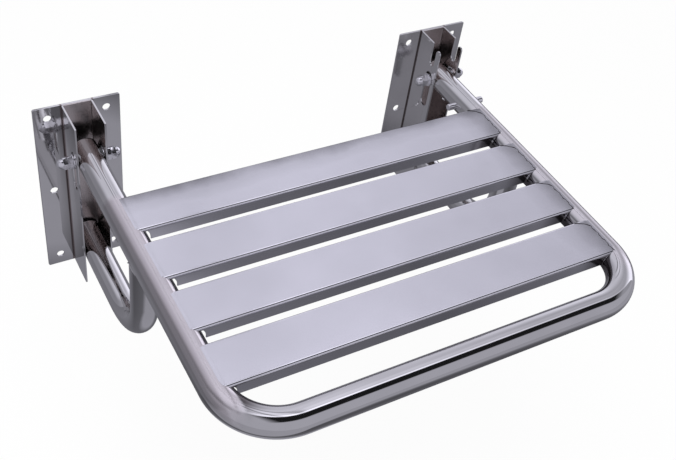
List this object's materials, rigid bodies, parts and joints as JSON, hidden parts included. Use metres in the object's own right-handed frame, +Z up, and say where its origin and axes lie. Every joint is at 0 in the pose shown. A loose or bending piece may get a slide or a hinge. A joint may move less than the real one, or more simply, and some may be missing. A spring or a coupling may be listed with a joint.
{
  "type": "fold down wall seat",
  "caption": "Wall seat with a bent tube frame and folded sheet slats that swings up on slotted wall brackets, drops and latches.",
  "frame": {"origin": "in the plane of the wall, midway between the two wall plates, at the middle of their height", "axes": "+X to the right seen from the room, +Y into the wall, +Z up; the seat is down and raised in its slots"},
  "size_m": [0.561, 0.453, 0.237],
  "materials": {
    "polished_sheet": "mirror polished stainless steel sheet",
    "polished_tube": "mirror polished stainless steel tube",
    "satin_slat": "finely ground satin stainless steel",
    "ground_weld": "ground and polished weld",
    "bright_fastener": "bright turned stainless steel",
    "grey_bush": "moulded nylon",
    "black_plug": "moulded black plastic",
    "black_buffer": "moulded black rubber"
  },
  "bodies": {
    "brackets": {"left_wall_plate": "polished_sheet", "right_wall_plate": "polished_sheet", "left_channel": "polished_sheet", "right_channel": "polished_sheet"},
    "pivots": {"left_pivot_sleeve": "bright_fastener", "right_pivot_sleeve": "bright_fastener", "left_pivot_stud": "bright_fastener", "right_pivot_stud": "bright_fastener", "left_washers": "bright_fastener", "right_washers": "bright_fastener", "left_hex_nuts": "bright_fastener", "right_hex_nuts": "bright_fastener", "left_dome_nuts": "bright_fastener", "right_dome_nuts": "bright_fastener"},
    "seat": {"seat_frame": "polished_tube", "slat_1": "satin_slat", "slat_2": "satin_slat", "slat_3": "satin_slat", "slat_4": "satin_slat", "left_brace": "polished_tube", "right_brace": "polished_tube", "left_slat_welds": "ground_weld", "right_slat_welds": "ground_weld", "left_brace_weld": "ground_weld", "right_brace_weld": "ground_weld", "left_rail_bush": "grey_bush", "right_rail_bush": "grey_bush", "left_rail_plug": "black_plug", "right_rail_plug": "black_plug", "left_buffer": "black_buffer", "right_buffer": "black_buffer", "latch_pin": "bright_fastener"}
  },
  "joints": [
    {"name": "pivot_slide", "type": "slide", "parent": "brackets", "child": "pivots", "axis": [0, 0, -1], "range_m": [-0.005, 0.034]},
    {"name": "seat_hinge", "type": "hinge", "parent": "pivots", "child": "seat", "pos_m": [0, -0.036, 0.066], "axis": [-1, 0, 0], "range_deg": [0, 90]}
  ]
}
